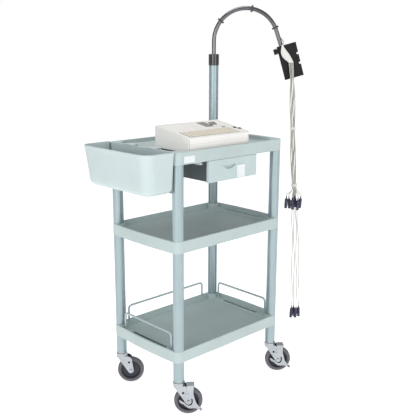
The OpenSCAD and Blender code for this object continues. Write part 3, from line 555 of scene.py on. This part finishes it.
def four_ways(quarter):
    """A closed outline from its first quarter, which runs from the x axis round to the y axis."""
    inside = quarter[1:-1]
    out = [quarter[0]] + inside + [quarter[-1]]
    out += [(-x, y) for x, y in inside[::-1]] + [(-quarter[0][0], quarter[0][1])]
    out += [(-x, -y) for x, y in inside] + [(quarter[-1][0], -quarter[-1][1])]
    return out + [(x, -y) for x, y in inside[::-1]]


# the shelves' outline: the radius of their corners, their half length and half depth, and how far
# their short sides and the pockets' short sides bow out
COLLAR_R = 0.0215
SIDE_X = COL_X + COLLAR_R
FRONT_Y = COL_Y + COL_R
BOW, POCKET_BOW = 0.007, 0.0056
# the long slots in the side ledges: their middle, the centres of their round ends and their half width
SLOT_X, SLOT_END_Y, SLOT_R = 0.2385, 0.089, 0.006


def shelf_outline():
    """A shelf's outer outline: bowed short sides, round corners and straight long sides."""
    cy = FRONT_Y - COLLAR_R
    quarter = [(SIDE_X + BOW * (1 - (k / 12) ** 2), cy * k / 12) for k in range(12)]
    for degrees in range(0, 91, 6):
        a = math.radians(degrees)
        quarter.append((COL_X + COLLAR_R * math.cos(a), cy + COLLAR_R * math.sin(a)))
    return four_ways(quarter + [(COL_X * k / 6, FRONT_Y) for k in range(5, -1, -1)])


def pocket_outline(inset_x, inset_y, bow):
    """The tray's inner outline: bowed sides, straight long walls and a round boss in each corner."""
    boss = COLLAR_R + 0.003
    edge_x, edge_y = SIDE_X - inset_x, FRONT_Y - inset_y
    reach = edge_y - 0.012

    def side(y):
        return edge_x + bow * (1 - (y / reach) ** 2)

    y = COL_Y - boss
    for _ in range(30):
        y = COL_Y - math.sqrt(max(boss ** 2 - (side(y) - COL_X) ** 2, 0))
    start = math.degrees(math.atan2(y - COL_Y, side(y) - COL_X)) % 360
    stop = 180 - math.degrees(math.asin((edge_y - COL_Y) / boss))
    quarter = [(side(y * k / 10), y * k / 10) for k in range(10)]
    for k in range(19):
        a = math.radians(start + (stop - start) * k / 18)
        quarter.append((COL_X + boss * math.cos(a), COL_Y + boss * math.sin(a)))
    end_x = quarter[-1][0]
    return four_ways(quarter + [(end_x * k / 6, edge_y) for k in range(5, -1, -1)])


def slot_outline(sign):
    """A long rounded slot in a side ledge."""
    out = []
    for cy, start in ((SLOT_END_Y, 0), (-SLOT_END_Y, 180)):
        for k in range(9):
            a = math.radians(start + 180 * k / 8)
            out.append((sign * SLOT_X + SLOT_R * math.cos(a), cy + SLOT_R * math.sin(a)))
    return out


def fill_between(bm, loops):
    """Fills the flat area between closed loops of vertices."""
    edges = []
    for loop in loops:
        for a, b in zip(loop, loop[1:] + loop[:1]):
            edges.append(bm.edges.get((a, b)) or bm.edges.new((a, b)))
    bmesh.ops.triangle_fill(bm, use_beauty=True, use_dissolve=False, edges=edges)


def make_shelf(node, rim, drop, ledge):
    """A moulded tray: rounded rim, a slot near each short side, gutter round the deck, hollow underside.

    The deck lies at drop below the rim. Where ledge is more than 0, the slots are in ledges that
    stand higher, at ledge below the rim; elsewhere they are in the deck itself.
    """
    bm = bmesh.new()
    skirt, skin, wall_t, ledge_x = 0.042, 0.004, 0.007, 0.040
    outer, under = shelf_outline(), pocket_outline(skin, skin, BOW)
    inner = pocket_outline(wall_t if ledge else 0.016, wall_t, POCKET_BOW)
    low, deck, below = rim - skirt, rim - drop, rim - drop - skin
    slot_z = rim - ledge if ledge else deck

    def loop(points, z):
        return [bm.verts.new((x, y, z)) for x, y in points]

    def rounding(outline, r, turn):
        """(outline, height) pairs round an edge of radius r; turn is 1 where the wall is outside the edge."""
        pairs = []
        for k in range(5):
            a = math.radians(90 * k / 4)
            pairs.append((offset_loop(outline, -turn * r * (1 - math.cos(a))), r * (math.sin(a) - 1)))
        return pairs

    def foot(outline, z):
        """The soft foot of a wall, a shallow gutter and the step up to the flat."""
        steps = ((0.0004, 0.0001), (0.0014, -0.0008), (0.0046, -0.0008), (0.0052, 0.0))
        return [loop(outline, z + 0.0012)] + [loop(offset_loop(outline, -d), z + dz) for d, dz in steps]

    wall = [loop(offset_loop(outer, -0.0012), low), loop(offset_loop(outer, -0.0003), low + 0.0004),
            loop(outer, low + 0.0014)]
    wall += [loop(points, rim + dz) for points, dz in rounding(outer, 0.0024, 1)]
    bridge(bm, wall, caps=False)
    inside = [loop(points, rim + dz) for points, dz in rounding(inner, 0.0018, -1)][::-1]
    fill_between(bm, [wall[-1], inside[0]])
    cuts = []
    for sign in (1, -1):
        points = slot_outline(sign)
        pair = [loop(offset_loop(points, 0.0004), slot_z), loop(points, slot_z - 0.0006), loop(points, below)]
        bridge(bm, pair, caps=False)
        cuts.append(pair)
    if ledge:
        inside += [loop(inner, slot_z + 0.0012), loop(offset_loop(inner, -0.0008), slot_z)]
        bridge(bm, inside, caps=False)
        tray = pocket_outline(ledge_x, 0.0085, POCKET_BOW)
        step = [loop(points, slot_z + dz) for points, dz in rounding(tray, 0.0018, -1)][::-1]
        step += foot(tray, deck)
        bridge(bm, step, caps=False)
        fill_between(bm, [inside[-1], step[0]] + [c[0] for c in cuts])
        fill_between(bm, [step[-1]])
    else:
        inside += foot(inner, deck)
        bridge(bm, inside, caps=False)
        fill_between(bm, [inside[-1]] + [c[0] for c in cuts])
    hollow = [loop(offset_loop(under, 0.0004), low), loop(under, low + 0.0006),
              loop(offset_loop(under, -0.0004), below)]
    bridge(bm, hollow, caps=False)
    fill_between(bm, [wall[0], hollow[0]])
    fill_between(bm, [hollow[-1]] + [c[-1] for c in cuts])
    bmesh.ops.recalc_face_normals(bm, faces=bm.faces)
    piece = finish_mesh(node + "_shell", bm, "cart", "shelf_plastic", (node,), 40)
    piece.modifiers.new("shade", "WEIGHTED_NORMAL").keep_sharp = True


TOP_RIM, MIDDLE_RIM, BOTTOM_RIM = 0.930, 0.632, 0.239
DECK_DROP, DECK_LOW, LEDGE_DROP = 0.014, 0.022, 0.013
make_shelf("top_shelf", TOP_RIM, DECK_DROP, 0)
make_shelf("middle_shelf", MIDDLE_RIM, DECK_LOW, LEDGE_DROP)
make_shelf("bottom_shelf", BOTTOM_RIM, DECK_LOW, LEDGE_DROP)
rounded("drawer_front", 0.0012, 3)
for node in ("recorder_base", "printer_door"):
    rounded(node, 0.0005, 2)
rounded("recorder_cover", 0.0012, 3)
for node in ("keypad", "lead_hanger", "pole_collar", "label_holder", "trunk_connector", "start_button",
             "stop_button", "power_rocker", "cable_clips", "bin_buffers", "display_window"):
    rounded(node, 0.0004, 2)
for corner in ("front_left", "front_right", "rear_left", "rear_right"):
    rounded("fork_" + corner, 0.0006, 2)
    rounded("hub_" + corner, 0.0008, 2)
    rounded("tyre_" + corner, 0.0022, 3)
    rounded("column_" + corner, 0.0004, 2)
for side in ("left", "right"):
    rounded("brake_pedal_" + side, 0.0005, 2)


def bin_ring(bm, inset, taper, z):
    """One outline of the side bin: round corners outside, nearly square ones next to the trolley."""
    x0, x1 = -0.388 + inset + taper, -0.268 - inset
    y0, y1 = -0.180 + inset + taper, 0.174 - inset - taper
    big, small = max(0.038 - inset, 0.012), max(0.006 - inset, 0.0015)
    spots = []
    for cx, cy, r, start, steps in (
        (x0 + big, y0 + big, big, 180, 14), (x1 - small, y0 + small, small, 270, 5),
        (x1 - small, y1 - small, small, 0, 5), (x0 + big, y1 - big, big, 90, 14),
    ):
        for k in range(steps + 1):
            a = math.radians(start + 90 * k / steps)
            spots.append((cx + r * math.cos(a), cy + r * math.sin(a)))
    out = []
    for (ax, ay), (bx, by) in zip(spots, spots[1:] + spots[:1]):
        far = math.hypot(bx - ax, by - ay)
        parts = 1 if far < 0.02 else 8
        for k in range(parts):
            out.append(bm.verts.new((ax + (bx - ax) * k / parts, ay + (by - ay) * k / parts, z)))
    return out


def make_bin():
    """The side bin: tapered walls, a rounded bottom edge and a rolled rim, inside and outside."""
    bottom, top, wall = 0.795, 0.933, 0.0034
    height = top - bottom
    bm = bmesh.new()
    rings = []
    full_taper = 0.0132

    def taper_at(z):
        return full_taper * (top - z) / height

    def ring(inset, z):
        rings.append(bin_ring(bm, inset, taper_at(z), z))

    r = 0.020
    for k in range(9):
        a = math.radians(90 * k / 8)
        ring(r * (1 - math.sin(a)), bottom + r * (1 - math.cos(a)))
    for k in range(1, 9):
        ring(0, bottom + r + (height - r - 0.009) * k / 8)
    rim = ((-0.0002, 0.0082), (-0.0009, 0.0076), (-0.0011, 0.0068), (-0.0011, 0.0016), (-0.0006, 0.0005),
           (0.0004, 0.0), (wall - 0.001, 0.0), (wall - 0.0002, 0.0006), (wall, 0.0016))
    for inset, drop in rim:
        ring(inset, top - drop)
    inner = r - wall
    for k in range(1, 9):
        ring(wall, top - 0.004 - (height - 0.004 - r) * k / 8)
    for k in range(1, 9):
        a = math.radians(90 * k / 8)
        ring(wall + inner * (1 - math.cos(a)), bottom + r - inner * math.sin(a))
    bridge(bm, rings)
    bmesh.ops.recalc_face_normals(bm, faces=bm.faces)
    finish_mesh("side_bin_shell", bm, "bin", "bin_plastic", ("side_bin",), 50)


make_bin()


def make_yoke():
    """The moulded teardrop in which the trunk cable divides into the leads."""
    # (height, x, half width, half thickness) of each slice, from top to bottom
    slices = (
        (1266, 266.0, 2.2, 2.2), (1264, 266.2, 3.6, 3.4), (1257, 267.5, 5.6, 4.4),
        (1249, 270.0, 9.2, 5.6), (1240, 273.5, 13.4, 6.4), (1231, 278.0, 16.2, 6.9),
        (1222, 283.0, 17.0, 6.8), (1214, 288.5, 15.6, 6.2), (1208, 294.0, 13.2, 5.6),
        (1204, 298.0, 11.8, 5.2), (1200, 301.0, 11.2, 5.0), (1198.6, 301.3, 9.8, 4.2),
    )
    bm = bmesh.new()
    bridge(bm, [oval(bm, x, LEADS_Y + 1, z, half_x, half_y, 0.8, 36) for z, x, half_x, half_y in slices])
    bmesh.ops.recalc_face_normals(bm, faces=bm.faces)
    piece = finish_mesh("yoke_body", bm, "arm", "connector_grey", ("yoke",), 60)
    soft = piece.modifiers.new("smooth", "SUBSURF")
    soft.levels = soft.render_levels = 2


make_yoke()


def rounded_box(name, centre, size, body, slot, width, segments=3, turn=0.0):
    """A block with rounded edges, turned about its own upright axis by turn degrees."""
    bm = bmesh.new()
    spin = Matrix.Rotation(math.radians(turn), 4, "Z")
    place = Matrix.Translation(centre) @ spin @ Matrix.Diagonal((*size, 1))
    bmesh.ops.create_cube(bm, size=1, matrix=place)
    bevel(finish_mesh(name, bm, body, slot), width, segments)


for sign, side in ((-1, "left"), (1, "right")):
    rounded_box(f"runner_rail_{side}", (sign * 0.1225, -0.0065, 0.9003), (0.014, 0.290, 0.0246), "cart",
                "shelf_plastic", 0.0012)
for k, y in enumerate((-0.060, 0.060)):
    rounded_box(f"bin_hook_top_{k + 1}", (-0.25595, y, 0.9330), (0.0329, 0.040, 0.0032), "bin",
                "bin_plastic", 0.0009)
    rounded_box(f"bin_hook_tab_{k + 1}", (-0.2415, y, 0.9248), (0.0040, 0.040, 0.0180), "bin",
                "bin_plastic", 0.0009)

# the recorder's sloping lid: its origin at the middle of the lid's front edge
LID = Matrix.Translation((0, -0.165, 0.968)) @ Matrix.Rotation(math.atan(29 / 165), 4, "X")


def on_lid(name, centre, size, slot, width, turn=0.0):
    """A small rounded block fixed to the recorder's sloping lid, in millimetres along the lid."""
    bm = bmesh.new()
    spin = Matrix.Rotation(math.radians(turn), 4, "Z")
    spread = Matrix.Diagonal((*(v / 1000 for v in size), 1))
    bmesh.ops.create_cube(bm, size=1, matrix=LID @ Matrix.Translation(Vector(centre) / 1000) @ spin @ spread)
    bevel(finish_mesh(name, bm, "cart", slot), width / 1000, 3)


def lid_ring(name, x, y, inner, outer, height, slot, stretch=1.0):
    """A flat ring or disc on the lid, in millimetres; stretch widens it along the lid."""
    bm = bmesh.new()
    rings = []
    profile = ((inner, 0.0), (inner, height - 0.2), (inner + 0.2, height), (outer - 0.4, height),
               (outer, height - 0.4), (outer, 0.0))
    for r, z in profile:
        spots = (Vector((x + stretch * r * math.cos(a), y + r * math.sin(a), z)) for a in full_turn(48))
        rings.append([bm.verts.new(LID @ (spot / 1000)) for spot in spots])
    bridge(bm, rings + [rings[0]], caps=False)
    bmesh.ops.recalc_face_normals(bm, faces=bm.faces)
    finish_mesh(name, bm, "cart", slot, (), 40)


on_lid("keypad_underlay", (-56, 41, -0.25), (238, 56, 0.3), "tray_plastic", 0.05)
on_lid("function_key_panel", (37, 127, -0.1), (36, 56, 0.5), "case_plastic", 0.12)
for k in range(4):
    on_lid(f"function_key_{k + 1}", (24.5 + 8.6 * k, 128, 0.6), (4.4, 34, 1.4), "black_plastic", 0.4, -24)
lid_ring("lid_badge", 46, 80, 0.01, 3.4, 0.8, "black_plastic", 2.8)
for k, (x, y) in enumerate(((80, 57), (90.5, 42.5))):
    lid_ring(f"button_bezel_{k + 1}", x, y, 7.1, 9.6, 0.7, "white_plastic")
# a thin dark strip along the recorder's front-left corner: the seam there, darkened as painted shade along
# that edge
rounded_box("recorder_corner_seam_shade", (-0.1893, -0.1633, 0.9452), (0.0011, 0.0005, 0.042), "cart",
            "buffer_rubber", 0.0001, 1, -45)

# painted shade: a dark strip closes every long slot but the top shelf's left one, which holds the bin's
# hooks; it stands for the shade inside the slot, which is open below
SHADE_STRIP_DROP = 0.0185
for name, sign, rim in (
    ("middle_left", -1, MIDDLE_RIM), ("middle_right", 1, MIDDLE_RIM),
    ("bottom_left", -1, BOTTOM_RIM), ("bottom_right", 1, BOTTOM_RIM), ("top_right", 1, TOP_RIM),
):
    rounded_box(name + "_slot", (sign * SLOT_X, 0, rim - SHADE_STRIP_DROP), (0.0116, 0.1886, 0.0024), "cart",
                "black_rubber", 0.0003, 1)

# a blank white sticker on the top shelf's front skirt
rounded_box("blank_sticker", (-0.2065, -0.1827, 0.904), (0.047, 0.0006, 0.022), "cart", "white_plastic",
            0.0002, 1)


# ---------------------------------------------------------------- floor, light, world
def make_stage():
    """A wide white floor that glows a little, so that it melts into the backdrop."""
    bm = bmesh.new()
    bmesh.ops.create_circle(bm, cap_ends=True, segments=64, radius=40)
    mesh = bpy.data.meshes.new("floor")
    bm.to_mesh(mesh)
    bm.free()
    n = Nodes("floor_paint")
    shade = n.remap(n.noise(2, 3), 0, 1)
    paint = n.mix(shade, (0.93, 0.93, 0.93), (0.95, 0.95, 0.95))
    mesh.materials.append(n.set(Base_Color=paint, Roughness=0.9, Emission_Color=(1.0, 1.0, 1.0),
                                Emission_Strength=0.58))
    floor = bpy.data.objects.new("floor", mesh)
    scene.collection.objects.link(floor)


def area_light(name, place, target, size, power):
    """A white rectangular light at a place, aimed at a target. Power is in watts."""
    data = bpy.data.lights.new(name, "AREA")
    data.shape = "RECTANGLE"
    data.size, data.size_y = size
    data.energy = power
    lamp = bpy.data.objects.new(name, data)
    scene.collection.objects.link(lamp)
    lamp.location = place
    lamp.rotation_euler = (Vector(target) - Vector(place)).to_track_quat("-Z", "Y").to_euler()


make_stage()
area_light("key", (-3.6, -1.5, 1.5), (0, 0, 0.6), (2.4, 1.8), 47)
area_light("front", (-0.4, -4.0, 1.45), (0, 0, 0.6), (2.4, 1.7), 34)
area_light("top", (-0.3, 0.2, 3.4), (0, 0, 0.7), (1.6, 1.6), 30)


def make_world():
    """A soft studio: white where the camera sees it, dimmer where it only lights the object."""
    world = bpy.data.worlds.new("studio")
    scene.world = world
    world.use_nodes = True
    tree = world.node_tree
    seen = tree.nodes["Background"]
    seen.inputs["Color"].default_value = (1, 1, 1, 1)
    seen.inputs["Strength"].default_value = 1.0
    lit = tree.nodes.new("ShaderNodeBackground")
    lit.inputs["Color"].default_value = (1, 1, 1, 1)
    lit.inputs["Strength"].default_value = 0.5
    path = tree.nodes.new("ShaderNodeLightPath")
    both = tree.nodes.new("ShaderNodeMixShader")
    tree.links.new(path.outputs["Is Camera Ray"], both.inputs["Fac"])
    tree.links.new(lit.outputs["Background"], both.inputs[1])
    tree.links.new(seen.outputs["Background"], both.inputs[2])
    tree.links.new(both.outputs["Shader"], tree.nodes["World Output"].inputs["Surface"])


make_world()
